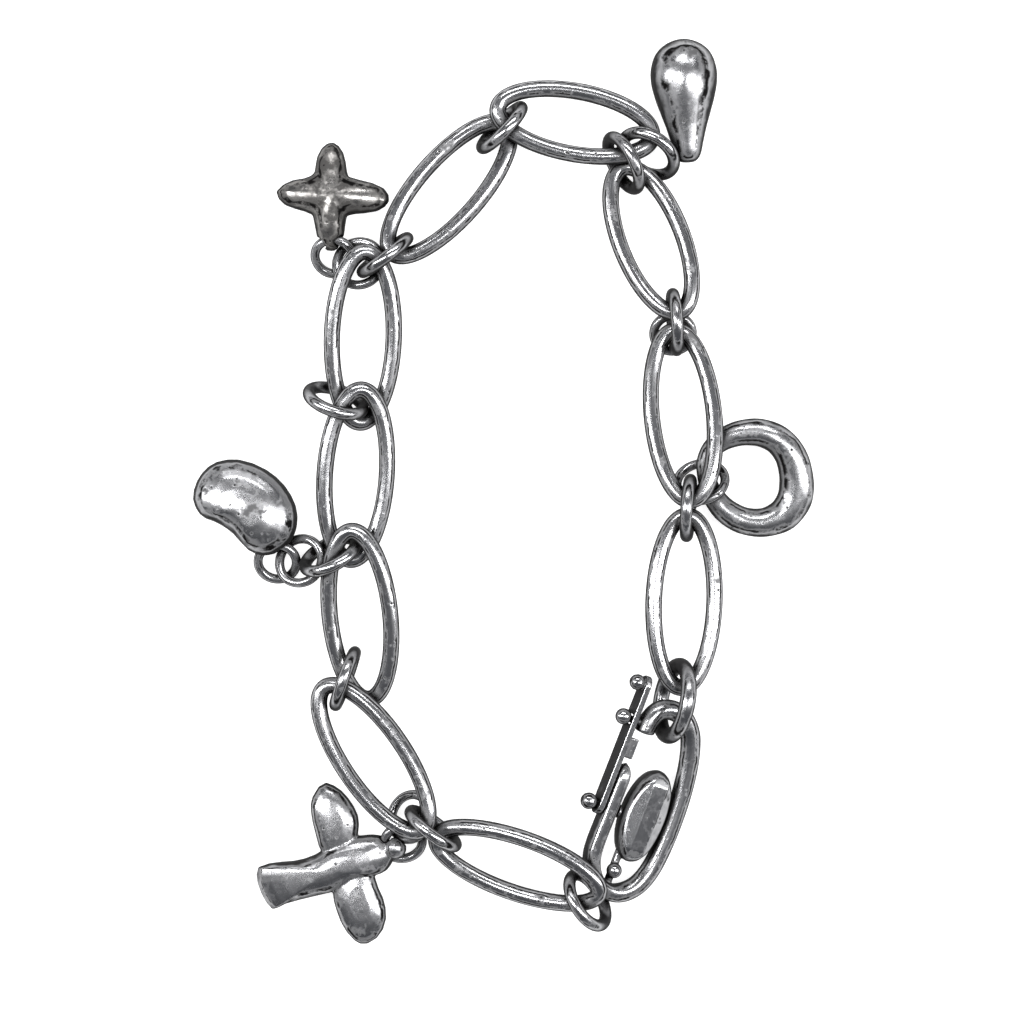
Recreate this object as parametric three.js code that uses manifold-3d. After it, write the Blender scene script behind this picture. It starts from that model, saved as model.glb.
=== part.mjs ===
// Charm bracelet lying loosely on a table, seen from above in its photograph.
// Units are millimetres, +Z is up, the bracelet rests on z = 0.
import * as THREE from 'three';
import Module from 'manifold-3d';

const wasm = await Module();
wasm.setup();

// Oval chain links
const linkLength = 18.8;
// Two links by the teardrop are a little shorter
const shortLinkLength = 17.3;
const linkWidth = 7.9;
const linkWire = 1.7;
// Round connector rings between the links
const connectorOuter = 6.85;
const connectorWire = 1.25;
// Larger ring between the clasp and the last link
const claspRingOuter = 8.7;
const claspRingWire = 1.6;
// Thin jump rings of the charms
const charmRingOuter = 4.8;
const charmRingWire = 0.95;
const spacerRingOuter = 5.5;
const wideRingOuter = 5.8;
// Air kept between pieces that lie against each other
const airGap = 0.14;
// Four-pointed star charm
const starSpan = 11.4;
const starHeight = 4.2;
// Bean charm
const beanSpan = 10.6;
const beanHeight = 5.0;
// Bird charm
const birdSpan = 14.8;
const birdHeight = 3.4;
// Teardrop charm
const dropLength = 12.2;
const dropWidth = 6.7;
// Open free-form ring charm
const hoopSize = 11.8;
const hoopHeight = 3.0;
// Clasp
const claspLength = 21.0;
const claspWire = 2.05;
const barWidth = 1.5;
const barHeight = 2.2;
const gateThickness = 0.6;
const gateHeight = 1.9;
const rivetRadius = 0.45;
const ballRadius = 0.82;
const plateLength = 9.6;
const plateWidth = 4.6;
const plateHeight = 2.6;

const wireSides = 6;
const ringSegments = 14;
const linkSegments = 16;
const tau = Math.PI * 2;
const vec = (x, y, z) => new THREE.Vector3(x, y, z);

// Rows of points joined into one closed skin; open skins are closed by a fan at each end
function skin(rows, loop) {
  const count = rows[0].length;
  const points = rows.flat();
  const index = [];
  const last = loop ? rows.length : rows.length - 1;
  for (let row = 0; row < last; row += 1) {
    const next = (row + 1) % rows.length;
    for (let col = 0; col < count; col += 1) {
      const a = row * count + col;
      const b = row * count + (col + 1) % count;
      const c = next * count + (col + 1) % count;
      const d = next * count + col;
      index.push(a, b, c, a, c, d);
    }
  }
  if (!loop) {
    for (const [row, flip] of [[0, true], [rows.length - 1, false]]) {
      const hub = rows[row].reduce((sum, p) => sum.add(p), vec(0, 0, 0)).divideScalar(count);
      points.push(hub);
      for (let col = 0; col < count; col += 1) {
        const a = row * count + col;
        const b = row * count + (col + 1) % count;
        if (flip) index.push(points.length - 1, b, a);
        else index.push(points.length - 1, a, b);
      }
    }
  }
  let volume = 0;
  for (let k = 0; k < index.length; k += 3) {
    volume += points[index[k]].dot(points[index[k + 1]].clone().cross(points[index[k + 2]]));
  }
  if (volume < 0) {
    for (let k = 0; k < index.length; k += 3) [index[k], index[k + 1]] = [index[k + 1], index[k]];
  }
  return { points, index };
}

function toManifold(shape) {
  return new wasm.Manifold(new wasm.Mesh({
    numProp: 3,
    vertProperties: new Float32Array(shape.points.flatMap((p) => [p.x, p.y, p.z])),
    triVerts: new Uint32Array(shape.index),
  }));
}

function fromManifold(body) {
  const mesh = body.getMesh();
  const points = [];
  for (let k = 0; k < mesh.numVert; k += 1) {
    points.push(vec(mesh.vertProperties[k * mesh.numProp], mesh.vertProperties[k * mesh.numProp + 1],
      mesh.vertProperties[k * mesh.numProp + 2]));
  }
  return { points, index: Array.from(mesh.triVerts) };
}

function placed(shape, matrix) {
  return { points: shape.points.map((p) => p.clone().applyMatrix4(matrix)), index: shape.index };
}

// Round wire along a flat closed curve in the local XY plane
function wireLoop(curve, wire, sides = wireSides) {
  const rows = curve.map((point, k) => {
    const before = curve[(k + curve.length - 1) % curve.length];
    const after = curve[(k + 1) % curve.length];
    const out = after.clone().sub(before).normalize().cross(vec(0, 0, 1));
    return Array.from({ length: sides }, (_, s) => {
      const turn = (s + 0.5) / sides * tau;
      return point.clone().addScaledVector(out, Math.cos(turn) * wire / 2)
        .add(vec(0, 0, Math.sin(turn) * wire / 2));
    });
  });
  return skin(rows, true);
}

const circle = (radius, count) => Array.from({ length: count }, (_, k) => vec(
  radius * Math.cos(k / count * tau), radius * Math.sin(k / count * tau), 0));

// Ellipse whose points stand closer together near its two ends
const oval = (halfLength, halfWidth, count) => Array.from({ length: count }, (_, k) => {
  const s = k / count * tau;
  const t = s - 0.175 * Math.sin(2 * s);
  return vec(halfLength * Math.cos(t), halfWidth * Math.sin(t), 0);
});

// Rings and links by kind: centre curve and wire thickness
const kinds = {
  link: { curve: oval((linkLength - linkWire) / 2, (linkWidth - linkWire) / 2, linkSegments), wire: linkWire },
  shortLink: { curve: oval((shortLinkLength - linkWire) / 2, (linkWidth - linkWire) / 2, linkSegments), wire: linkWire },
  connector: { curve: circle((connectorOuter - connectorWire) / 2, ringSegments), wire: connectorWire },
  claspRing: { curve: circle((claspRingOuter - claspRingWire) / 2, ringSegments), wire: claspRingWire },
  charmRing: { curve: circle((charmRingOuter - charmRingWire) / 2, ringSegments), wire: charmRingWire },
  spacerRing: { curve: circle((spacerRingOuter - charmRingWire) / 2, ringSegments), wire: charmRingWire },
  wideRing: { curve: circle((wideRingOuter - charmRingWire) / 2, ringSegments), wire: charmRingWire },
};

// How each piece lies: x, y, z of its centre, then heading, pitch and roll in degrees.
// A z of 0 lets a ring stand on the table. Plan positions grow with the links.
const spread = (linkLength + linkWire) / 20.5;
const lying = {
  link_1: ['shortLink', 6.75, 37.1, 4.1, -11, 2, 14],
  link_2: ['link', -5.4, 30.55, 3.0, 47, -2, -8],
  link_3: ['link', -13.5, 15.85, 2.95, 80, 4, 0],
  link_4: ['link', -14.9, 1.95, 3.15, -88, -6, -22],
  link_5: ['link', -14.3, -12.35, 3.15, -84, -6, 14],
  link_6: ['link', -12.7, -25.35, 4.1, -52, 0, 8],
  link_7: ['link', 1.85, -36.9, 3.15, -15, 6, 6],
  link_8: ['link', 18.3, -9.55, 3.8, 90, 2, 14],
  link_9: ['link', 17.8, 8.35, 3.6, -90, 3, 10],
  link_10: ['shortLink', 15.1, 25.9, 2.75, -80, 4, 10],
  connector_1: ['connector', 0, 36.65, 0, 49, 0, 108],
  connector_2: ['connector', -11, 24.15, 0, 54, 0, 92],
  connector_3: ['connector', -16.2, 9.35, 0, -12, 0, 112],
  connector_4: ['connector', -16.7, -6.15, 0, 22, 0, 112],
  connector_5: ['connector', -16.1, -17.65, 0, 54, 0, 78],
  connector_6: ['connector', -7.2, -32.8, 0, -43, 0, 120],
  connector_7: ['connector', 9.4, -40.1, 0, 98, 0, 52],
  clasp_ring: ['claspRing', 17.3, -20.0, 0, 75, 0, 60],
  connector_9: ['connector', 18.5, -0.5, 0, 87, 0, 98],
  connector_10: ['connector', 17.2, 17.65, 0, 95, 0, 105],
  connector_11: ['connector', 12.95, 33.4, 0, 100, -12, 95],
  teardrop_ring: ['connector', 14.8, 34.15, 0, -12, 0, 49],
  spare_ring: ['charmRing', 17.3, 16.85, 0, 0, 0, 15],
  star_ring: ['charmRing', -16.9, 24.05, 1.35, 0, 0, 26],
  star_spacer_ring: ['spacerRing', -13.7, 23.15, 1.3, 0, 8, -10],
  bean_ring: ['charmRing', -22.5, -6.65, 1.3, 0, 0, 20],
  bean_spacer_ring: ['spacerRing', -20, -6.85, 1.6, 0, 20, 0],
  bird_ring: ['charmRing', -9.8, -34.9, 1.6, 0, 0, 32],
  bird_spacer_ring: ['spacerRing', -8.5, -32.7, 1.6, 0, 26, -8],
  hoop_ring: ['wideRing', 19.3, 1.15, 1.7, 0, 0, -28],
};

const eulerOf = (heading, pitch, roll) => new THREE.Quaternion()
  .setFromAxisAngle(vec(0, 0, 1), heading * tau / 360)
  .multiply(new THREE.Quaternion().setFromAxisAngle(vec(0, -1, 0), pitch * tau / 360))
  .multiply(new THREE.Quaternion().setFromAxisAngle(vec(1, 0, 0), roll * tau / 360));

// Extra points along a closed or open run of points, as one flat number list
function samples(curve, closed, step) {
  const list = [];
  const last = closed ? curve.length : curve.length - 1;
  for (let k = 0; k < last; k += 1) {
    const a = curve[k];
    const b = curve[(k + 1) % curve.length];
    const parts = Math.max(1, Math.ceil(a.distanceTo(b) / step));
    for (let s = 0; s < parts; s += 1) list.push(a.clone().lerp(b, s / parts));
  }
  if (!closed) list.push(curve[curve.length - 1].clone());
  return list;
}

// ---- Clasp, in its own frame: Y along its length towards the chain's top, X to the wire side
const claspTilt = 23;
const claspHeading = -21.3;
const claspScale = claspLength / 21.0;
const claspAt = (x, y, z = 0) => vec(x * claspScale, y * claspScale, z);
const half = claspWire / 2;
const wirePath = [
  claspAt(-2.4, 7.0), claspAt(-2.35, 8.2), claspAt(-1.7, 9.25), claspAt(-0.5, 9.75), claspAt(0.9, 9.55),
  claspAt(2.2, 8.5), claspAt(2.95, 7.2), claspAt(3.65, 4.8), claspAt(4.1, 1.5), claspAt(4.2, -2.2),
  claspAt(3.95, -5.4), claspAt(3.3, -7.5), claspAt(2.2, -8.8),
];
const bandPath = [claspAt(0.8, -9.4), claspAt(-0.7, -9.2), claspAt(-2.0, -8.2), claspAt(-2.75, -6.8), claspAt(-3.0, -5.2)];
const barPath = [claspAt(-3.0, 0), claspAt(-3.0, 3.3)];
const framePath = [...wirePath, ...bandPath, ...barPath];
const rivetY = -1.5;
const studY = 7.55;
const stripX = -4.15;
const tipY = 11.2;

function profileRow(point, out, width, height, round) {
  return Array.from({ length: 10 }, (_, s) => {
    const turn = (s + 0.5) / 10 * tau;
    const c = Math.cos(turn);
    const z = Math.sin(turn);
    const square = Math.min(1, 0.86 / Math.max(Math.abs(c), Math.abs(z)));
    const size = round ? 1 : square * 1.16;
    return point.clone().addScaledVector(out, c * size * width / 2).add(vec(0, 0, z * size * height / 2));
  });
}

function claspFrame() {
  const rows = framePath.map((point, k) => {
    const before = framePath[Math.max(0, k - 1)];
    const after = framePath[Math.min(framePath.length - 1, k + 1)];
    const out = after.clone().sub(before).normalize().cross(vec(0, 0, 1));
    if (k < wirePath.length) return profileRow(point, out, claspWire, claspWire, true);
    return profileRow(point, out, barWidth, barHeight, false);
  });
  const first = framePath[0];
  const tip = [0.55, 0.9].map((size, k) => profileRow(
    first.clone().add(vec(0, k === 0 ? -half * 0.85 : -half * 0.45, 0)), vec(1, 0, 0), claspWire * size, claspWire * size, true));
  return skin([...tip, ...rows], false);
}

function ball(center, radius, sides = 12, axis = 'y') {
  const rows = [];
  for (let k = 1; k < 7; k += 1) {
    const turn = k / 7 * Math.PI;
    rows.push(Array.from({ length: sides }, (_, s) => {
      const a = s / sides * tau;
      const c = -Math.cos(turn) * radius;
      const r = Math.sin(turn) * radius;
      return axis === 'x' ? center.clone().add(vec(c, r * Math.cos(a), r * Math.sin(a)))
        : center.clone().add(vec(r * Math.sin(a), c, r * Math.cos(a)));
    }));
  }
  return skin(rows, false);
}

// Round pin along X
function pin(x0, x1, y, z, radius, sides = 12) {
  return skin([x0, x1].map((x) => Array.from({ length: sides }, (_, s) => vec(
    x, y + radius * Math.cos(s / sides * tau), z + radius * Math.sin(s / sides * tau)))), false);
}

function box(x0, x1, y0, y1, z0, z1) {
  const row = (y) => [vec(x0, y, z0), vec(x1, y, z0), vec(x1, y, z1), vec(x0, y, z1)];
  return skin([row(y0), row(y1)], false);
}

function join(shapes) {
  return shapes.map(toManifold).reduce((a, b) => a.add(b));
}

function claspPlate() {
  const levels = [[0.82, -plateHeight / 2], [0.95, -plateHeight * 0.36], [1, -plateHeight * 0.1], [1, plateHeight * 0.12],
    [0.9, plateHeight * 0.36], [0.7, plateHeight / 2]];
  return skin(levels.map(([size, z]) => Array.from({ length: 24 }, (_, s) => {
    const a = s / 24 * tau;
    return vec(0.7 + Math.cos(a) * plateWidth / 2 * size, -1.1 + Math.sin(a) * plateLength / 2 * (1 - (1 - size) * 0.55), z + 0.55);
  })), false);
}

const studX = stripX - gateThickness / 2 - 0.12 - ballRadius * 0.75;
function claspBody() {
  return join([
    claspFrame(),
    claspPlate(),
    box(-2.9, -1.2, -4.2, -2.6, -0.75, 0.35),
    pin(studX, -2.4 * claspScale, studY * claspScale, 0, 0.36),
    ball(vec(studX, studY * claspScale, 0), ballRadius, 12, 'x'),
    box(-0.4, 0.4, -9.0 * claspScale, -5.0 * claspScale, -0.5, 0.35),
    ball(vec(-0.1, -7.2 * claspScale, 0.35), ballRadius * 0.95),
  ]).subtract(toManifold(pin(stripX - 3, -1.4, rivetY * claspScale, 0, rivetRadius + 0.09)));
}

// The gate is a strip with a thumb ball, a catch slot open below and an inner lip that closes the gap
function claspGate() {
  const x0 = stripX - gateThickness / 2;
  const x1 = stripX + gateThickness / 2;
  const tip = tipY * claspScale;
  const heel = rivetY * claspScale;
  const end = gateHeight / 2;
  const row = (x) => [
    ...Array.from({ length: 7 }, (_, s) => vec(x, tip + end * Math.sin(s / 6 * Math.PI), end * Math.cos(s / 6 * Math.PI))),
    ...Array.from({ length: 9 }, (_, s) => vec(x, heel - end * Math.sin(s / 8 * Math.PI), -end * Math.cos(s / 8 * Math.PI))),
  ];
  const lipStart = 3.72 * claspScale;
  const lipEnd = 5.82 * claspScale;
  return join([
    skin([row(x0), row(x1)], false),
    ball(vec(x0 - ballRadius * 0.75, tip, 0), ballRadius, 12, 'x'),
    box(x1 - 0.1, -2.35, lipStart, lipEnd, -0.9, -0.3),
  ]).subtract(toManifold(pin(x0 - 1, x1 + 1, heel, 0, rivetRadius + 0.09)))
    .subtract(toManifold(box(x0 - 0.4, x1 + 0.4, studY * claspScale - 0.52, studY * claspScale + 0.52, -2, 0.5)));
}

function claspRivet() {
  const heel = rivetY * claspScale;
  const outer = stripX - gateThickness / 2 - 0.1;
  return join([
    pin(outer - 0.5, -1.7, heel, 0, rivetRadius),
    ball(vec(outer - ballRadius * 0.92, heel, 0), ballRadius * 1.05, 12, 'x'),
    pin(-2.05, -1.75, heel, 0, 0.7),
  ]);
}

const claspMatrix = new THREE.Matrix4().makeTranslation(13.8 * spread, -30.65 * spread, 2.95)
  .multiply(new THREE.Matrix4().makeRotationZ(claspHeading * tau / 360))
  .multiply(new THREE.Matrix4().makeRotationY(claspTilt * tau / 360));

// ---- Charms, each lying near the table at its own place
// Domed pebble: a smooth outline through named points, filled with rows from its top to its underside
function pebble(outline, rise, count, levels, scale = 1) {
  const edge = new THREE.CatmullRomCurve3(outline.map(([x, y]) => vec(x * scale, y * scale, 0)), true, 'centripetal')
    .getPoints(count).slice(0, count);
  const hub = edge.reduce((sum, p) => sum.add(p), vec(0, 0, 0)).divideScalar(count);
  const row = (size, side) => edge.map((p) => hub.clone().lerp(p, size).add(vec(0, 0, side * rise(size))));
  return skin([...levels.map((size) => row(size, 1)), ...levels.slice(0, -1).reverse().map((size) => row(size, -1))], false);
}
const dome = (height, power) => (size) => height / 2 * Math.sqrt(Math.max(0, 1 - size ** power));
const levels = [0.15, 0.4, 0.62, 0.8, 0.93, 1];

const star = pebble([[-5.4, 0.1], [-4.0, 1.15], [-2.3, 1.5], [-1.5, 2.0], [-1.35, 3.3], [-0.6, 4.7], [0.4, 5.1], [1.3, 4.3],
  [1.75, 2.8], [1.95, 1.6], [4.0, 1.1], [5.8, 0.2], [6.1, -0.9], [5.2, -1.8], [3.2, -2.2], [1.8, -2.4], [1.6, -4.0], [1.0, -5.6],
  [0.3, -6.0], [-0.6, -5.7], [-1.4, -4.1], [-1.7, -2.3], [-3.2, -1.8], [-4.8, -1.1]], dome(starHeight, 1.5), 40, levels, starSpan / 11.5);
const bean = pebble([[-5.45, 0.8], [-4.6, -0.9], [-3.0, -1.6], [-1.5, -2.6], [0.35, -4.5], [2.2, -4.9], [4.5, -3.4], [5.1, -0.8],
  [4.2, 1.6], [2.2, 3.6], [-0.9, 4.8], [-3.4, 4.4], [-4.9, 2.9]], dome(beanHeight, 2.4), 30, levels, beanSpan / 10.6);
const drop = skin([[0.004, 0.2], [0.035, 0.5], [0.095, 0.78], [0.18, 0.93], [0.29, 1], [0.42, 0.93], [0.56, 0.77], [0.7, 0.59], [0.84, 0.45],
  [0.94, 0.37], [0.99, 0.22]].map(([along, size]) => Array.from({ length: 16 }, (_, s) => vec(
  Math.cos(s / 16 * tau) * size * dropWidth / 2, dropLength * (0.5 - along), Math.sin(s / 16 * tau) * size * dropWidth / 2))), false);

const hoopScale = hoopSize / 11.8;
const hoopRoute = [[-5.1, 1.6, 0.85], [-4.95, 0.2, 0.85], [-4.5, -1.5, 1.0], [-3.2, -3.3, 1.25], [-1.3, -4.45, 1.35],
  [0.9, -4.7, 1.45], [3.0, -3.9, 1.75], [4.2, -2.0, 1.85], [4.15, 0.3, 1.7], [3.6, 2.3, 1.6], [2.3, 3.9, 1.5],
  [0.4, 4.65, 1.4], [-1.6, 4.55, 1.25], [-3.3, 3.9, 1.1], [-4.5, 2.9, 0.95]];
const hoopCurve = hoopRoute.map(([x, y]) => vec(x * hoopScale, y * hoopScale, 0));
function hoop() {
  return skin(hoopCurve.map((point, k) => {
    const out = hoopCurve[(k + 1) % hoopCurve.length].clone()
      .sub(hoopCurve[(k + hoopCurve.length - 1) % hoopCurve.length]).normalize().cross(vec(0, 0, 1));
    const width = hoopRoute[k][2] * hoopScale;
    const tall = Math.min(width, hoopHeight / 2);
    return Array.from({ length: 10 }, (_, s) => point.clone().addScaledVector(out, Math.cos(s / 10 * tau) * width)
      .add(vec(0, 0, Math.sin(s / 10 * tau) * tall)));
  }), true);
}

// Bird seen from above: a body with a flared tail and a beak lip, a ball head and two leaf wings
const birdScale = birdSpan / 14.8;
const bird = join([
  pebble([[-7.4, -0.4], [-5.4, 0.1], [-3.4, 0.3], [-1.6, 0.9], [0.6, 2.2], [2.4, 2.7], [4.3, 2.9], [5.9, 2.5], [6.6, 1.3], [6.2, 0.2],
    [5.6, -0.7], [4.6, -1.2], [3.2, -1.4], [1.5, -2.2], [0.1, -2.9], [-2.4, -3.5], [-4.9, -4.2], [-5.9, -4.7], [-6.9, -3.4],
    [-7.5, -1.8]], dome(birdHeight, 2.6), 34, levels, birdScale),
  pebble([[-2.1, 5.2], [-2.0, 6.5], [-0.8, 8.1], [0.6, 7.6], [1.8, 6.4], [2.7, 4.7], [2.7, 3.0], [2.0, 0.9], [0.3, -0.3], [-1.0, 1.0], [-1.7, 3.2]],
    dome(birdHeight * 0.76, 3), 20, levels, birdScale),
  pebble([[0.1, -3.0], [0.4, -4.5], [1.1, -6.3], [2.3, -7.8], [3.3, -8.2], [4.8, -7.3], [5.5, -5.6], [5.3, -3.8], [4.6, -2.2], [3.9, -0.2],
    [2.2, 0.7], [0.6, -0.6]], dome(birdHeight * 0.76, 3), 20, levels, birdScale),
  ball(vec(6.4, 1.55, 0.35).multiplyScalar(birdScale), 1.15 * birdScale),
]);

const plan = (x, y, z, heading, pitch, roll) => new THREE.Matrix4().compose(
  vec(x * spread, y * spread, z), eulerOf(heading, pitch, roll), vec(1, 1, 1));
// A charm grows from its eye, which stays on its ring
const fromEye = (x, y, z, eyeX, eyeY, size) => new THREE.Matrix4().makeTranslation(
  (x + eyeX) * spread - eyeX * size, (y + eyeY) * spread - eyeY * size, z);
const charmPlaces = {
  star_charm: fromEye(-17.2, 30.35, 2.2, 0.3, -5.9, starSpan / 11.4),
  bean_charm: fromEye(-25.4, -1.15, 2.5, 2.2, -4.7, beanSpan / 10.6),
  bird_charm: fromEye(-17.0, -36.85, 1.75, 6.4, 1.55, birdSpan / 14.8),
  teardrop_charm: plan(18.35, 39.3, 3.35, 3, 0, 0),
  hoop_charm: plan(25.45, 1.8, 2.15, 0, 0, 8),
};

// ---- Where the loose rings and links come to lie: each starts at its named place and is moved
// by the least amount that leaves air between its wire and every other wire
const pieces = [];
function addPiece(name, curve, radius, position, quaternion, fixed, closed = true, give = 1) {
  const local = samples(curve, closed, 0.42);
  pieces.push({
    name, local, radius, fixed, position, quaternion,
    start: position.clone(), startTurn: quaternion.clone(),
    reach: Math.max(...local.map((p) => p.length())) + radius,
    world: local.map((p) => p.clone()),
    give, inertia: fixed ? 0 : give * 2.2 / local.reduce((sum, p) => sum + p.lengthSq() / local.length, 0),
  });
}
for (const [name, [kind, x, y, z, heading, pitch, roll]] of Object.entries(lying)) {
  const { curve, wire } = kinds[kind];
  const quaternion = eulerOf(heading, pitch, roll);
  const position = vec(x * spread, y * spread, z);
  if (z === 0) position.z = wire / 2 - Math.min(...curve.map((p) => p.clone().applyQuaternion(quaternion).z));
  const held = ['star_ring', 'bean_ring', 'bird_ring', 'teardrop_ring'].includes(name);
  addPiece(name, curve, wire / 2, position, quaternion, false, true, held ? 0.12 : 1);
}
const still = new THREE.Quaternion();
const claspWorld = (list) => list.map((p) => p.clone().applyMatrix4(claspMatrix));
addPiece('clasp_outline', claspWorld([...framePath, claspAt(-3.0, 5.2)]), half + 0.08, vec(0, 0, 0), still.clone(), true);
for (const swing of [0, 40, 75]) {
  const turn = new THREE.Matrix4().makeTranslation(0, rivetY * claspScale, 0)
    .multiply(new THREE.Matrix4().makeRotationX(swing * tau / 360))
    .multiply(new THREE.Matrix4().makeTranslation(0, -rivetY * claspScale, 0));
  addPiece('gate_sweep', claspWorld([vec(stripX, 0, 0), vec(stripX, tipY * claspScale + 0.5, 0)].map((p) => p.applyMatrix4(turn))),
    0.92, vec(0, 0, 0), still.clone(), true, false);
}
addPiece('stud_pin', claspWorld([vec(-2.4, studY * claspScale, 0), vec(studX, studY * claspScale, 0)]), 0.42, vec(0, 0, 0), still.clone(), true, false);
addPiece('teardrop_body', [vec(18.1, 41, 3.3), vec(18.55, 36, 3.3)].map((p) => p.multiply(vec(spread, spread, 1))), dropWidth * 0.31,
  vec(0, 0, 0), still.clone(), true, false);
addPiece('hoop_outline', hoopCurve.map((p) => p.clone().applyMatrix4(charmPlaces.hoop_charm)), 1.0 * hoopScale, vec(0, 0, 0), still.clone(), true);
for (const piece of pieces) piece.reachCenter = piece.fixed && piece.start.lengthSq() === 0;

function toWorld(piece) {
  piece.local.forEach((p, k) => piece.world[k].copy(p).applyQuaternion(piece.quaternion).add(piece.position));
}
function push(piece, at, normal, amount) {
  if (piece.fixed) return;
  const arm = at.clone().sub(piece.position).cross(normal);
  piece.position.addScaledVector(normal, amount * piece.give);
  const turn = arm.multiplyScalar(amount * piece.inertia);
  const angle = turn.length();
  if (angle > 1e-9) piece.quaternion.premultiply(new THREE.Quaternion().setFromAxisAngle(turn.divideScalar(angle), angle)).normalize();
}
function weight(piece, at, normal) {
  return piece.fixed ? 0 : piece.give + at.clone().sub(piece.position).cross(normal).lengthSq() * piece.inertia;
}
const pairs = [];
pieces.forEach((a, i) => pieces.slice(i + 1).forEach((b) => {
  if (a.fixed && b.fixed) return;
  if (!a.reachCenter && !b.reachCenter && a.position.distanceTo(b.position) > a.reach + b.reach + 1) return;
  pairs.push([a, b]);
}));
pieces.forEach(toWorld);
const rounds = 420;
for (let round = 0; round < rounds; round += 1) {
  const pull = round < rounds * 0.55 ? 0.04 : 0;
  for (const piece of pieces) {
    if (piece.fixed) continue;
    piece.position.lerp(piece.start, pull);
    piece.quaternion.slerp(piece.startTurn, pull);
    toWorld(piece);
  }
  for (const [a, b] of pairs) {
    const need = a.radius + b.radius + airGap;
    let best = need * need;
    let at = null;
    for (const p of a.world) {
      for (const q of b.world) {
        const dx = p.x - q.x;
        const dy = p.y - q.y;
        const dz = p.z - q.z;
        const d = dx * dx + dy * dy + dz * dz;
        if (d < best) {
          best = d;
          at = [p, q];
        }
      }
    }
    if (!at) continue;
    const distance = Math.sqrt(best);
    const normal = at[0].clone().sub(at[1]).divideScalar(Math.max(distance, 1e-6));
    const wa = weight(a, at[0], normal);
    const wb = weight(b, at[1], normal);
    const step = Math.min(need - distance, 0.25) / (wa + wb);
    const [p, q] = [at[0].clone(), at[1].clone()];
    push(a, p, normal, step);
    push(b, q, normal.clone().negate(), step);
    if (!a.fixed) toWorld(a);
    if (!b.fixed) toWorld(b);
  }
  for (const piece of pieces) {
    if (piece.fixed) continue;
    const low = piece.world.reduce((best, p) => (p.z < best.z ? p : best));
    if (low.z < piece.radius) {
      const up = vec(0, 0, 1);
      push(piece, low.clone(), up, (piece.radius - low.z) / weight(piece, low, up));
      toWorld(piece);
    }
  }
}

// ---- The assembly
const silver = { links: 0xb9bbbd, rings: 0xb0b2b5, charms: 0xa6a8ab, clasp: 0xb4b6b8 };
const object = new THREE.Group();
function addMesh(name, shape, color) {
  const geometry = new THREE.BufferGeometry();
  geometry.setAttribute('position', new THREE.Float32BufferAttribute(shape.points.flatMap((p) => [p.x, p.y, p.z]), 3));
  geometry.setIndex(shape.index);
  geometry.computeVertexNormals();
  const mesh = new THREE.Mesh(geometry, new THREE.MeshStandardMaterial({ name: 'oxidised_silver', color, metalness: 1, roughness: 0.3 }));
  mesh.name = name;
  object.add(mesh);
}

// A charm's eye is cut along the path of the ring that passes through it
function pierced(body, place, ...ringNames) {
  let solid = toManifold(placed(body, place));
  for (const ringName of ringNames) {
    const ring = pieces.find((piece) => piece.name === ringName);
    const kind = kinds[lying[ringName][0]];
    const cutter = placed(wireLoop(kind.curve, kind.wire + 0.34, 8),
      new THREE.Matrix4().compose(ring.position, ring.quaternion, vec(1, 1, 1)));
    solid = solid.subtract(toManifold(cutter));
  }
  return fromManifold(solid);
}

for (const [name, [kind]] of Object.entries(lying)) {
  const piece = pieces.find((item) => item.name === name);
  const shape = placed(wireLoop(kinds[kind].curve, kinds[kind].wire),
    new THREE.Matrix4().compose(piece.position, piece.quaternion, vec(1, 1, 1)));
  addMesh(name, shape, kind === 'link' ? silver.links : silver.rings);
}
addMesh('star_charm', pierced(star, charmPlaces.star_charm, 'star_ring', 'star_spacer_ring'), silver.charms);
addMesh('bean_charm', pierced(bean, charmPlaces.bean_charm, 'bean_ring', 'bean_spacer_ring'), silver.charms);
addMesh('bird_charm', pierced(fromManifold(bird), charmPlaces.bird_charm, 'bird_ring', 'bird_spacer_ring'), silver.charms);
addMesh('teardrop_charm', pierced(drop, charmPlaces.teardrop_charm, 'teardrop_ring'), silver.charms);
addMesh('hoop_charm', placed(hoop(), charmPlaces.hoop_charm), silver.charms);
addMesh('clasp_body', placed(fromManifold(claspBody()), claspMatrix), silver.clasp);
addMesh('clasp_gate', placed(fromManifold(claspGate()), claspMatrix), silver.clasp);
addMesh('clasp_rivet', placed(fromManifold(claspRivet()), claspMatrix), silver.clasp);

// The bracelet rests on z = 0 with its plan centred on the origin
const bounds = new THREE.Box3().setFromObject(object);
const shift = vec(-(bounds.min.x + bounds.max.x) / 2, -(bounds.min.y + bounds.max.y) / 2, -bounds.min.z);
for (const mesh of object.children) mesh.geometry.translate(shift.x, shift.y, shift.z);

export default object;
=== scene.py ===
import math

import bpy
import numpy as np
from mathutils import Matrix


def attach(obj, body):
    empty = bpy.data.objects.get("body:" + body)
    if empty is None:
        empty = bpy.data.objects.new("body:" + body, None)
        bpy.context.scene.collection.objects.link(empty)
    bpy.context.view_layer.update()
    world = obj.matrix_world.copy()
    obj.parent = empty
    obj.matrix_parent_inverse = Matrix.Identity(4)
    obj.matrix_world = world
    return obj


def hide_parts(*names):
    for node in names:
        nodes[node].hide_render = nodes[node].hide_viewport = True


mm = 0.001  # the dictionaries are in millimetres, the scene in metres


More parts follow.
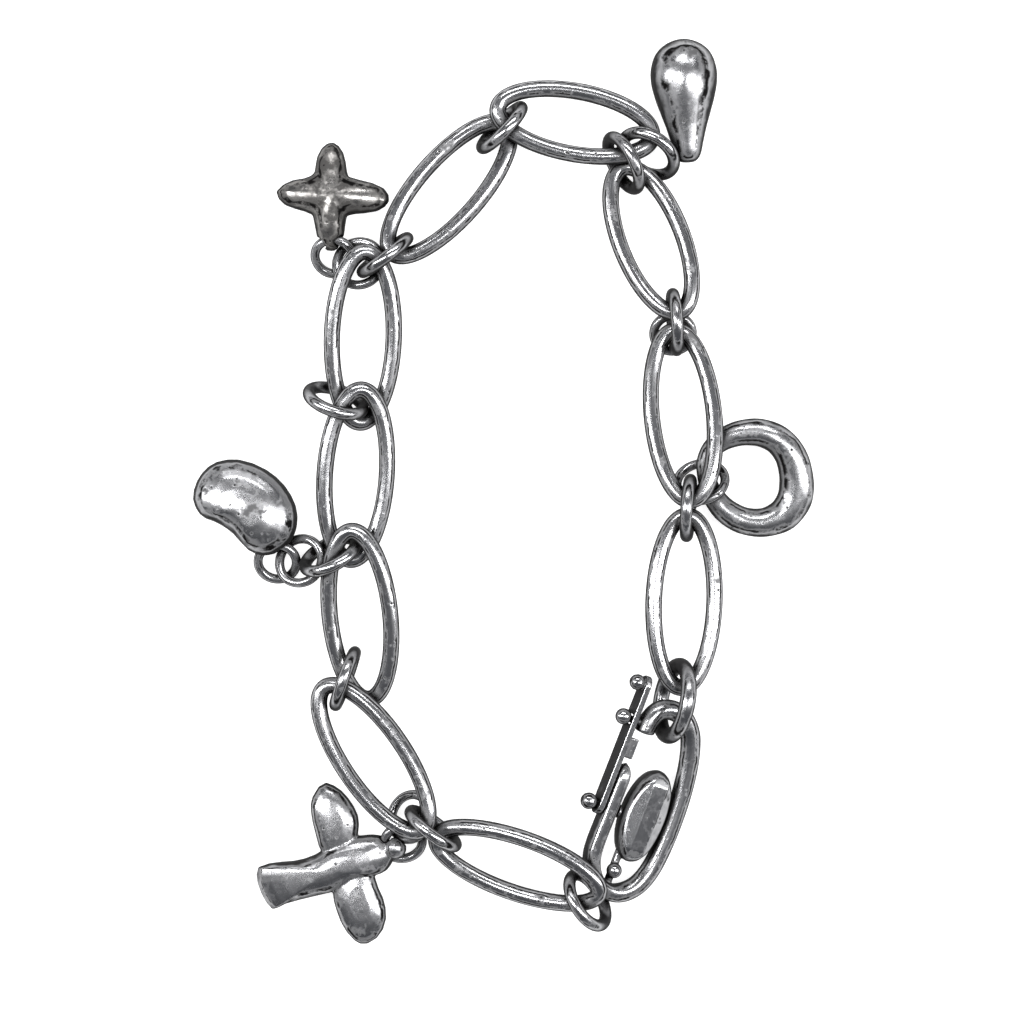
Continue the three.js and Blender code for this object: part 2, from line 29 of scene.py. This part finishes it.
# Brings the placements of all objects up to date
def writeSize():
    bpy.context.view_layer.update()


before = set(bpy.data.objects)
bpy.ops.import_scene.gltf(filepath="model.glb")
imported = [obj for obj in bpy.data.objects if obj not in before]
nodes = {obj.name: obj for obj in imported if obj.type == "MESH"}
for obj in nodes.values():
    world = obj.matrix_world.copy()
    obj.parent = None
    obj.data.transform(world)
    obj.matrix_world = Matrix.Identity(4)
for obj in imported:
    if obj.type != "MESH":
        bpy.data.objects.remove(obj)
writeSize()
print("frame loaded")


# sRGB hex colour to linear RGBA
def linear(code):
    parts = [int(code[k:k + 2], 16) / 255 for k in (0, 2, 4)]
    return [p / 12.92 if p <= 0.04045 else ((p + 0.055) / 1.055) ** 2.4 for p in parts] + [1]


# Adds a node with its properties. An input takes a value, a socket, or a node's first output.
def addNode(tree, kind, inputs=None, **settings):
    node = tree.nodes.new(kind)
    for key, value in settings.items():
        setattr(node, key, value)
    for key, value in (inputs or {}).items():
        if isinstance(value, bpy.types.Node):
            value = value.outputs[0]
        if isinstance(value, bpy.types.NodeSocket):
            tree.links.new(value, node.inputs[key])
        else:
            node.inputs[key].default_value = value
    return node


# What all the silver has in common. Sizes are in millimetres. Tarnish and painted shade run from 0, bright,
# to 1, black.
# Grain, pits and scratches are drawn a few times coarser than real ones, so that they show.
silverLook = {
    "silver": "AEAEB0", "tarnish": "0B0A0A",
    "roughness": 0.17, "tarnishRoughness": 0.35, "tarnishShine": 0.03,
    "grainSize": 0.384615, "grainRoughness": 0.06,
    "hollowReach": 1.3, "hollowStart": 0.92, "hollowEnd": 0.6, "hollowTarnish": 1.0,
    "waver": 0.25, "rimStart": 0.78, "rimEnd": 0.4, "rimTarnish": 0.97,
    "lineAt": 0.78, "lineCore": 0.02, "lineWidth": 0.15, "lineTarnish": 1.0, "lineGaps": (0.4, 0.52),
    "patchSize": 2.380952, "patchStart": 0.57, "patchBlur": 0.12, "patchTarnish": 0.7,
    "pitSize": 0.909091, "pitEdge": (0.08, 0.24), "pitZone": (0.44, 0.54), "pits": 0.955,
    "scratchSize": (1.111111, 0.192308, 0.416667), "scratchTurn": (0.4, 0.2, 0.9), "scratches": 0.12,
    "lumps": 0.3, "relief": 0.2, "reliefDepth": 0.06,
}


# Cast or drawn silver, oxidised black and polished back: bright where polished, black in hollows,
# in pits and in patches. Painted shade darkens the flanks as they turn away from straight up, and a
# painted dark reflection lies in a broken line above each flank. So a wire shows a bright streak
# between two painted dark lines, and a charm has a painted dark outline.
def oxidisedSilver(name, look):
    material = bpy.data.materials.new(name)
    material.use_nodes = True
    tree = material.node_tree
    shader = tree.nodes["Principled BSDF"]
    place = addNode(tree, "ShaderNodeTexCoord").outputs["Object"]

    patches = addNode(tree, "ShaderNodeTexNoise", {
        "Vector": place, "Scale": 1 / (look["patchSize"] * mm), "Detail": 5.0, "Roughness": 0.62})
    grain = addNode(tree, "ShaderNodeTexNoise", {
        "Vector": place, "Scale": 1 / (look["grainSize"] * mm), "Detail": 3.0, "Roughness": 0.6})
    cells = addNode(tree, "ShaderNodeTexVoronoi", {
        "Vector": place, "Scale": 1 / (look["pitSize"] * mm), "Randomness": 1.0})
    drawnOut = addNode(tree, "ShaderNodeMapping", {
        "Vector": place, "Rotation": look["scratchTurn"],
        "Scale": [1 / (size * mm) for size in look["scratchSize"]]})
    scratches = addNode(tree, "ShaderNodeTexNoise", {"Vector": drawnOut, "Scale": 1.0, "Detail": 2.0})

    # Hollows: dark where the surroundings are close
    nearby = addNode(tree, "ShaderNodeAmbientOcclusion", {"Distance": look["hollowReach"] * mm}, samples=4)
    hollow = addNode(tree, "ShaderNodeMapRange", {
        0: nearby.outputs["AO"], 1: look["hollowEnd"], 2: look["hollowStart"],
        3: look["hollowTarnish"], 4: 0.0}, interpolation_type="SMOOTHSTEP")

    # Flanks: painted shade, darker as the surface turns away from straight up, by an uneven edge
    normal = addNode(tree, "ShaderNodeNewGeometry").outputs["Normal"]
    facing = addNode(tree, "ShaderNodeSeparateXYZ", {0: normal}).outputs["Z"]
    waver = addNode(tree, "ShaderNodeMapRange", {
        0: patches, 1: 0.0, 2: 1.0, 3: -look["waver"], 4: look["waver"]}, clamp=False)
    uneven = addNode(tree, "ShaderNodeMath", {0: facing, 1: waver}, operation="ADD")
    paintedFlankShade = addNode(tree, "ShaderNodeMapRange", {
        0: uneven, 1: look["rimEnd"], 2: look["rimStart"], 3: look["rimTarnish"], 4: 0.0},
        interpolation_type="SMOOTHSTEP")
    # Painted dark reflection: a thin line where the surface tilts a little from straight up, broken by gaps
    offLine = addNode(tree, "ShaderNodeMath", {0: uneven, 1: look["lineAt"]}, operation="SUBTRACT")
    fromLine = addNode(tree, "ShaderNodeMath", {0: offLine}, operation="ABSOLUTE")
    line = addNode(tree, "ShaderNodeMapRange", {
        0: fromLine, 1: look["lineCore"], 2: look["lineWidth"], 3: look["lineTarnish"], 4: 0.0},
        interpolation_type="SMOOTHSTEP")
    gaps = addNode(tree, "ShaderNodeMapRange", {
        0: patches, 1: look["lineGaps"][0], 2: look["lineGaps"][1], 3: 0.0, 4: 1.0},
        interpolation_type="SMOOTHSTEP")
    brokenPaintedReflection = addNode(tree, "ShaderNodeMath", {0: line, 1: gaps}, operation="MULTIPLY")

    # Patches of thin tarnish, and round pits where the patches are thick
    patchEnd = look["patchStart"] + look["patchBlur"]
    patch = addNode(tree, "ShaderNodeMapRange", {
        0: patches, 1: look["patchStart"], 2: patchEnd, 3: 0.0, 4: look["patchTarnish"]},
        interpolation_type="SMOOTHSTEP")
    pit = addNode(tree, "ShaderNodeMapRange", {
        0: cells, 1: look["pitEdge"][0], 2: look["pitEdge"][1], 3: look["pits"], 4: 0.0},
        interpolation_type="SMOOTHSTEP")
    pitted = addNode(tree, "ShaderNodeMapRange", {
        0: patches, 1: look["pitZone"][0], 2: look["pitZone"][1], 3: 0.0, 4: 1.0},
        interpolation_type="SMOOTHSTEP")
    pits = addNode(tree, "ShaderNodeMath", {0: pit, 1: pitted}, operation="MULTIPLY")

    # The darkest of patina in hollows, painted flank shade, the painted dark reflection line, patches and
    # pits
    tarnish = hollow
    for layer in (paintedFlankShade, brokenPaintedReflection, patch, pits):
        tarnish = addNode(tree, "ShaderNodeMath", {0: tarnish, 1: layer}, operation="MAXIMUM")
    colour = addNode(tree, "ShaderNodeMix", {
        0: tarnish, 6: linear(look["silver"]), 7: linear(look["tarnish"])}, data_type="RGBA")
    tree.links.new(colour.outputs[2], shader.inputs["Base Color"])
    metal = addNode(tree, "ShaderNodeMath", {0: 1.0, 1: tarnish}, operation="SUBTRACT")
    tree.links.new(metal.outputs[0], shader.inputs["Metallic"])
    shader.inputs["Specular IOR Level"].default_value = look["tarnishShine"]

    grained = addNode(tree, "ShaderNodeMath", {0: grain, 1: look["grainRoughness"], 2: look["roughness"]},
                      operation="MULTIPLY_ADD")
    rough = addNode(tree, "ShaderNodeMath", {0: tarnish, 1: look["tarnishRoughness"], 2: grained},
                    operation="MULTIPLY_ADD")
    tree.links.new(rough.outputs[0], shader.inputs["Roughness"])

    # Low relief: lumps of the casting, scratches, and the pits sunk in
    cast = addNode(tree, "ShaderNodeMath", {0: patches, 1: look["lumps"]}, operation="MULTIPLY")
    scratched = addNode(tree, "ShaderNodeMath", {0: scratches, 1: look["scratches"], 2: cast},
                        operation="MULTIPLY_ADD")
    height = addNode(tree, "ShaderNodeMath", {0: scratched, 1: pits}, operation="SUBTRACT")
    bump = addNode(tree, "ShaderNodeBump", {
        "Strength": look["relief"], "Distance": look["reliefDepth"] * mm, "Height": height})
    tree.links.new(bump.outputs[0], shader.inputs["Normal"])
    return material


# Quads of a grid of rows and columns, closed round the columns, and round the rows if asked
def gridFaces(rows, columns, wrapRows):
    i, j = np.meshgrid(np.arange(rows if wrapRows else rows - 1), np.arange(columns), indexing="ij")
    below, nextColumn = (i + 1) % rows, (j + 1) % columns
    corners = [i * columns + j, below * columns + j, below * columns + nextColumn, i * columns + nextColumn]
    return np.stack(corners, axis=-1).reshape(-1, 4)


def meshObject(name, points, faces):
    mesh = bpy.data.meshes.new(name)
    mesh.from_pydata(points.reshape(-1, 3).tolist(), [], faces)
    mesh.polygons.foreach_set("use_smooth", np.ones(len(faces), bool))
    mesh.update()
    piece = bpy.data.objects.new(name, mesh)
    bpy.context.scene.collection.objects.link(piece)
    return piece


# Where a ring or link lies: the middle of its CAD node, and its long, short and flat directions,
# which are those in which the node's points spread most, less and least
def lyingPlace(node):
    mesh = nodes[node].data
    points = np.zeros(len(mesh.vertices) * 3)
    mesh.vertices.foreach_get("co", points)
    points = np.unique(np.round(points.reshape(-1, 3), 7), axis=0)
    centre = points.mean(0)
    along, across = np.linalg.svd(points - centre, full_matrices=False)[2][:2]
    return centre, along, across, np.cross(along, across)


# Round wire bent to a closed oval. The centre curve is (a cos t, b sin t), where t = s - crowding sin 2s
# draws the points of an oval towards its two ends. The section is a circle of the wire's radius,
# worn thinner by a slow wave round the loop.
def wireLoop(name, node, outer, width, wire, loop):
    centre, along, across, flat = lyingPlace(node)
    s = np.linspace(0, 2 * math.pi, loop["steps"], endpoint=False)
    t = s - (loop["crowding"] if outer != width else 0.0) * np.sin(2 * s)
    u = np.linspace(0, 2 * math.pi, loop["sides"], endpoint=False)
    a, b = (outer - wire) / 2 * mm, (width - wire) / 2 * mm
    curve = a * np.cos(t)[:, None] * along + b * np.sin(t)[:, None] * across
    out = b * np.cos(t)[:, None] * along + a * np.sin(t)[:, None] * across
    out = out / np.linalg.norm(out, axis=1, keepdims=True)
    phase = sum(map(ord, name))  # so that no two loops are worn alike
    radius = wire / 2 * mm * (1 - loop["wear"] * (0.5 + 0.5 * np.sin(3 * s + phase)))
    section = np.cos(u)[None, :, None] * out[:, None, :] + np.sin(u)[None, :, None] * flat
    points = centre + curve[:, None, :] + radius[:, None, None] * section
    piece = meshObject(name, points, gridFaces(loop["steps"], loop["sides"], True).tolist())
    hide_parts(node)
    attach(piece, "bracelet")
    return piece


# Long oval links of thick wire, the two beside the teardrop a little shorter
link = {"outer": 18.8, "shortOuter": 17.3, "shortOnes": (1, 10), "width": 7.9, "wire": 1.7, "count": 10,
        "loop": {"wear": 0.03, "crowding": 0.175, "steps": 144, "sides": 28},
        "look": dict(silverLook, silver="B2B2B4", pits=0.95)}
linkSilver = oxidisedSilver("oxidised silver link wire", link["look"])
for number in range(1, link["count"] + 1):
    outer = link["shortOuter"] if number in link["shortOnes"] else link["outer"]
    piece = wireLoop(f"linkWire{number}", f"link_{number}", outer, link["width"], link["wire"], link["loop"])
    piece.data.materials.append(linkSilver)
print("links made")

# Round rings by kind: outer size and wire. All that aren't named join two links.
ring = {"connector": (6.85, 1.25), "clasp": (8.7, 1.6), "charm": (4.8, 0.95), "spacer": (5.5, 0.95),
        "wide": (5.8, 0.95),
        "kinds": {"clasp_ring": "clasp", "hoop_ring": "wide", "spare_ring": "charm",
                  "star_ring": "charm", "bean_ring": "charm", "bird_ring": "charm",
                  "star_spacer_ring": "spacer", "bean_spacer_ring": "spacer", "bird_spacer_ring": "spacer"},
        "loop": link["loop"], "look": silverLook}
ringSilver = oxidisedSilver("oxidised silver ring wire", ring["look"])
for node in sorted(name for name in nodes if name.startswith("connector_") or name.endswith("_ring")):
    outer, wire = ring[ring["kinds"].get(node, "connector")]
    piece = wireLoop(node.replace("_", "") + "Wire", node, outer, outer, wire, ring["loop"])
    piece.data.materials.append(ringSilver)
print("rings made")


# Softens a cast piece: rounds its faces and swells it back if asked, melts it to even faces,
# and polishes it
def soften(piece, shape, material):
    if shape.get("swell"):
        piece.modifiers.new("welded", "WELD").merge_threshold = 0.001 * mm
        curved = piece.modifiers.new("curved", "SUBSURF")
        curved.levels = curved.render_levels = 2
        swell = piece.modifiers.new("swell", "DISPLACE")
        swell.strength = shape["swell"] * mm
        swell.mid_level = 0.0
    cast = piece.modifiers.new("cast", "REMESH")
    cast.mode = "VOXEL"
    cast.voxel_size = shape["voxel"] * mm
    cast.use_smooth_shade = True
    polished = piece.modifiers.new("polished", "SMOOTH")
    polished.factor = 0.5
    polished.iterations = shape["polish"]
    piece.data.materials.clear()
    piece.data.materials.append(material)


# Cast charms, from the CAD shapes: voxel size, rounds of polishing and swelling
charmLook = dict(silverLook, silver="AAAAAC", roughness=0.2, grainRoughness=0.12, hollowReach=1.5,
                 patchStart=0.55, patchTarnish=0.75, pits=0.95, lumps=0.7, relief=0.25)
charm = {"shapes": {"star_charm": {"voxel": 0.11, "polish": 10},
                    "bean_charm": {"voxel": 0.11, "polish": 14},
                    "bird_charm": {"voxel": 0.1, "polish": 6},
                    "teardrop_charm": {"voxel": 0.11, "polish": 12, "swell": 0.12},
                    "hoop_charm": {"voxel": 0.11, "polish": 12, "swell": 0.12}},
         "look": charmLook,
         "starLook": dict(charmLook, silver="8A8886", roughness=0.22, patchStart=0.46,
                          lumps=2.4, relief=0.6)}
charmSilver = oxidisedSilver("oxidised cast silver", charm["look"])
starSilver = oxidisedSilver("oxidised rough cast silver", charm["starLook"])
for node, shape in charm["shapes"].items():
    soften(nodes[node], shape, starSilver if node == "star_charm" else charmSilver)
print("charms made")

# Clasp: a frame of wire that flattens to a bar, an oval plate, and a stud for the gate, all soldered.
# Its path runs from the mouth over the top, down the right side, round the foot and up the bar.
clasp = {"origin": (13.5507, -30.8608, 2.9305), "heading": -21.3, "tilt": 23.0,
         "path": [(-2.4, 6.6), (-2.4, 7.2), (-2.3, 8.2), (-1.7, 9.25), (-0.5, 9.75), (0.9, 9.55),
                  (2.2, 8.5), (2.95, 7.2), (3.65, 4.8), (4.1, 1.5), (4.2, -2.2), (3.95, -5.4),
                  (3.3, -7.5), (2.2, -8.8), (0.8, -9.4), (-0.7, -9.2), (-2.0, -8.2), (-2.75, -6.8),
                  (-3.0, -5.2), (-3.0, -2.5), (-3.0, 0.0), (-3.0, 3.3)],
         "steps": 200, "sides": 24, "wire": 2.05, "endSizes": (0.05, 0.55, 0.8, 0.92, 0.98),
         "barStart": 13.2, "barBlend": 2.0, "barWidth": 1.5, "barHeight": 2.2, "barSquareness": 0.45,
         "plateCentre": (0.7, -1.1), "plateWidth": 4.6, "plateLength": 9.6, "plateBottom": -0.75,
         "plateTop": 1.85, "flat": 0.8, "slope": 0.5, "flatLength": 3.4, "endSlope": 0.35,
         "edge": 0.14, "edgeDrop": 0.55, "wallHeights": (0.1, 0.6),
         "stud": (-5.18, 7.55), "studBall": 0.82, "studPin": 0.36, "studEnd": -2.4,
         "web": ((-0.1, -9.0, -0.1), (-0.1, -5.0, -0.1)), "webRadius": 0.42,
         "knob": (-0.1, -7.2, 0.35), "knobBall": 0.779,
         "body": {"voxel": 0.08, "polish": 3},
         "parts": {"clasp_gate": {"voxel": 0.07, "polish": 3},
                   "clasp_rivet": {"voxel": 0.07, "polish": 4}},
         "look": dict(silverLook, patchStart=0.58)}
claspSilver = oxidisedSilver("oxidised silver clasp", clasp["look"])


# From the clasp's own axes to the frame: turned by the tilt about Y, then by the heading about Z,
# and moved so that their middle comes to the clasp's origin
def claspPlace(points):
    h, t = math.radians(clasp["heading"]), math.radians(clasp["tilt"])
    aboutZ = np.array([[math.cos(h), -math.sin(h), 0], [math.sin(h), math.cos(h), 0], [0, 0, 1]])
    aboutY = np.array([[math.cos(t), 0, math.sin(t)], [0, 1, 0], [-math.sin(t), 0, math.cos(t)]])
    return (points @ (aboutZ @ aboutY).T + np.array(clasp["origin"])) * mm


# Catmull-Rom curve through the points, evenly stepped in their index, which is given back with it
def throughPoints(points, count):
    p = np.array(points, float)
    p = np.vstack([2 * p[0] - p[1], p, 2 * p[-1] - p[-2]])
    at = np.linspace(0, len(p) - 3 - 1e-9, count)
    k, f = at.astype(int), (at % 1)[:, None]
    a, b, c, d = p[k], p[k + 1], p[k + 2], p[k + 3]
    squared, cubed = 2 * a - 5 * b + 4 * c - d, 3 * b - a - 3 * c + d
    return 0.5 * (2 * b + (c - a) * f + squared * f ** 2 + cubed * f ** 3), at


# Frame of the clasp. The section at each step is a superellipse: a round wire first, then flattening
# to the bar's width and height, and drawn in at both ends.
def claspTube():
    line, at = throughPoints(clasp["path"], clasp["steps"])
    along = np.gradient(line, axis=0)
    along /= np.linalg.norm(along, axis=1, keepdims=True)
    out = np.stack([along[:, 1], -along[:, 0]], axis=1)
    bar = np.clip((at - clasp["barStart"]) / clasp["barBlend"], 0, 1)[:, None]
    half = ((1 - bar) * clasp["wire"] + bar * clasp["barWidth"]) / 2
    tall = ((1 - bar) * clasp["wire"] + bar * clasp["barHeight"]) / 2
    power = 1 - clasp["barSquareness"] * bar
    ends = np.ones((clasp["steps"], 1))
    ends[:5, 0] = ends[:-6:-1, 0] = clasp["endSizes"]
    u = np.linspace(0, 2 * math.pi, clasp["sides"], endpoint=False)[None, :]
    aside = np.sign(np.cos(u)) * np.abs(np.cos(u)) ** power * half * ends
    up = np.sign(np.sin(u)) * np.abs(np.sin(u)) ** power * tall * ends
    flatPoints = line[:, None, :] + aside[:, :, None] * out[:, None, :]
    return np.concatenate([flatPoints, up[:, :, None]], axis=2)


# Oval plate. Rows of ellipses run from the bottom's middle out over the edge and in over the top,
# which is flat along its middle and slopes down to both sides and both ends.
def claspDome():
    bottom, edge, cover = np.linspace(0.02, 0.84, 12), [0.95, 1.0, 1.0], np.linspace(0.98, 0.01, 26)
    reach = np.concatenate([bottom, edge, cover])[:, None]
    wall = len(bottom) + 1
    a =np.linspace(0, 2 * math.pi, 72, endpoint=False)[None, :]
    x = reach * clasp["plateWidth"] / 2 * np.cos(a)
    y = reach * clasp["plateLength"] / 2 * np.sin(a)
    top = clasp["plateTop"] - np.maximum(np.abs(x) - clasp["flat"], 0) * clasp["slope"]
    top = top - np.maximum(np.abs(y) - clasp["flatLength"], 0) * clasp["endSlope"]
    top = top - np.clip((reach - 1 + clasp["edge"]) / clasp["edge"], 0, 1) ** 2 * clasp["edgeDrop"]
    z = np.where(np.arange(len(reach))[:, None] < wall, clasp["plateBottom"], top)
    z[wall], z[wall + 1] = clasp["wallHeights"]
    return np.stack([x + clasp["plateCentre"][0], y + clasp["plateCentre"][1], z], axis=2)


# Straight round bar between two points: circles of its radius, drawn in to a point at both ends
def roundBar(start, end, radius):
    start, end = np.array(start, float), np.array(end, float)
    along = (end - start) / np.linalg.norm(end - start)
    side = np.cross(along, (0, 0, 1.0))
    side /= np.linalg.norm(side)
    up = np.cross(along, side)
    step = np.array([0.0, 0.0, 0.2, 0.8, 1.0, 1.0])[:, None]
    size = np.array([0.05, 1.0, 1.0, 1.0, 1.0, 0.05])[:, None, None] * radius
    u = np.linspace(0, 2 * math.pi, 20, endpoint=False)[None, :, None]
    return (start + step * (end - start))[:, None, :] + size * (np.cos(u) * side + np.sin(u) * up)


# Sphere by circles from one side to the other
def ballGrid(centre, radius):
    v = np.linspace(0.03, math.pi - 0.03, 18)[:, None]
    u = np.linspace(0, 2 * math.pi, 26, endpoint=False)[None, :]
    directions = [np.cos(v) + 0 * u, np.sin(v) * np.cos(u), np.sin(v) * np.sin(u)]
    return np.array(centre) + radius * np.stack(directions, axis=2)


# Several grids in one mesh, each closed by a face at both ends, then melted together
# as solder joins them
def soldered(name, grids, shape, material):
    faces, base = [], 0
    for grid in grids:
        rows, columns = grid.shape[:2]
        faces += (gridFaces(rows, columns, False) + base).tolist()
        faces += [list(range(base + columns - 1, base - 1, -1))]
        faces += [list(range(base + (rows - 1) * columns, base + rows * columns))]
        base += rows * columns
    points = np.concatenate([claspPlace(grid.reshape(-1, 3)) for grid in grids])
    piece = meshObject(name, points, faces)
    soften(piece, shape, material)
    return piece


studX, studY = clasp["stud"]
body = soldered("claspFrame", [
    claspTube(),
    claspDome(),
    roundBar((studX, studY, 0), (clasp["studEnd"], studY, 0), clasp["studPin"]),
    ballGrid((studX, studY, 0), clasp["studBall"]),
    roundBar(*clasp["web"], clasp["webRadius"]),
    ballGrid(clasp["knob"], clasp["knobBall"]),
], clasp["body"], claspSilver)
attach(body, "bracelet")
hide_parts("clasp_body")
for node, shape in clasp["parts"].items():
    soften(nodes[node], shape, claspSilver)
print("clasp made")

# Pale paper, matt and lit evenly as on a light table, so that shadows on it stay faint
table = {"half": 700.0, "colour": "B4B4B4", "roughness": 0.9, "glow": 0.9}
mesh = bpy.data.meshes.new("table")
half = table["half"] * mm
corners = [(-half, -half, 0), (half, -half, 0), (half, half, 0), (-half, half, 0)]
mesh.from_pydata(corners, [], [(0, 1, 2, 3)])
floor =bpy.data.objects.new("table", mesh)
bpy.context.scene.collection.objects.link(floor)
paper = bpy.data.materials.new("matt white paper")
paper.use_nodes = True
paperShader = paper.node_tree.nodes["Principled BSDF"]
paperShader.inputs["Base Color"].default_value = linear(table["colour"])
paperShader.inputs["Roughness"].default_value = table["roughness"]
paperShader.inputs["Specular IOR Level"].default_value = 0.0
paperShader.inputs["Emission Color"].default_value = (1, 1, 1, 1)
paperShader.inputs["Emission Strength"].default_value = table["glow"]
mesh.materials.append(paper)

# Two narrow softboxes at the sides and a weaker one beyond the far end: place, size and power
studio = {"surround": "6C6E72", "surroundStrength": 0.8,
          "boxes": [((-230, 30, 300), (50, 420), 1.6), ((240, -20, 280), (50, 420), 1.6),
                    ((20, 300, 300), (360, 40), 0.9)]}
world = bpy.data.worlds.new("studio")
world.use_nodes = True
background = world.node_tree.nodes["Background"]
background.inputs["Color"].default_value = linear(studio["surround"])
background.inputs["Strength"].default_value = studio["surroundStrength"]
bpy.context.scene.world = world
bpy.context.scene.view_settings.view_transform = "Standard"
for number, (place, size, power) in enumerate(studio["boxes"]):
    lamp = bpy.data.lights.new(f"softbox{number}", "AREA")
    lamp.shape = "RECTANGLE"
    lamp.size, lamp.size_y = size[0] * mm, size[1] * mm
    lamp.energy = power
    box = bpy.data.objects.new(f"softbox{number}", lamp)
    bpy.context.scene.collection.objects.link(box)
    x, y, z = place
    box.location = (x * mm, y * mm, z * mm)
    box.rotation_euler = (math.atan2(math.hypot(x, y), z), 0, math.atan2(-x, y) + math.pi)
print("studio made")

# Straight down, with the image's width across the table at mid height
view = {"lens": 100.0, "across": 102.4, "centre": (0.8, -1.85), "level": 2.5}
camera = bpy.data.cameras.new("camera")
camera.lens = view["lens"]
eye = bpy.data.objects.new("camera", camera)
bpy.context.scene.collection.objects.link(eye)
above = view["level"] + view["across"] * view["lens"] / camera.sensor_width
eye.location = (view["centre"][0] * mm, view["centre"][1] * mm, above * mm)
bpy.context.scene.camera = eye

writeSize()
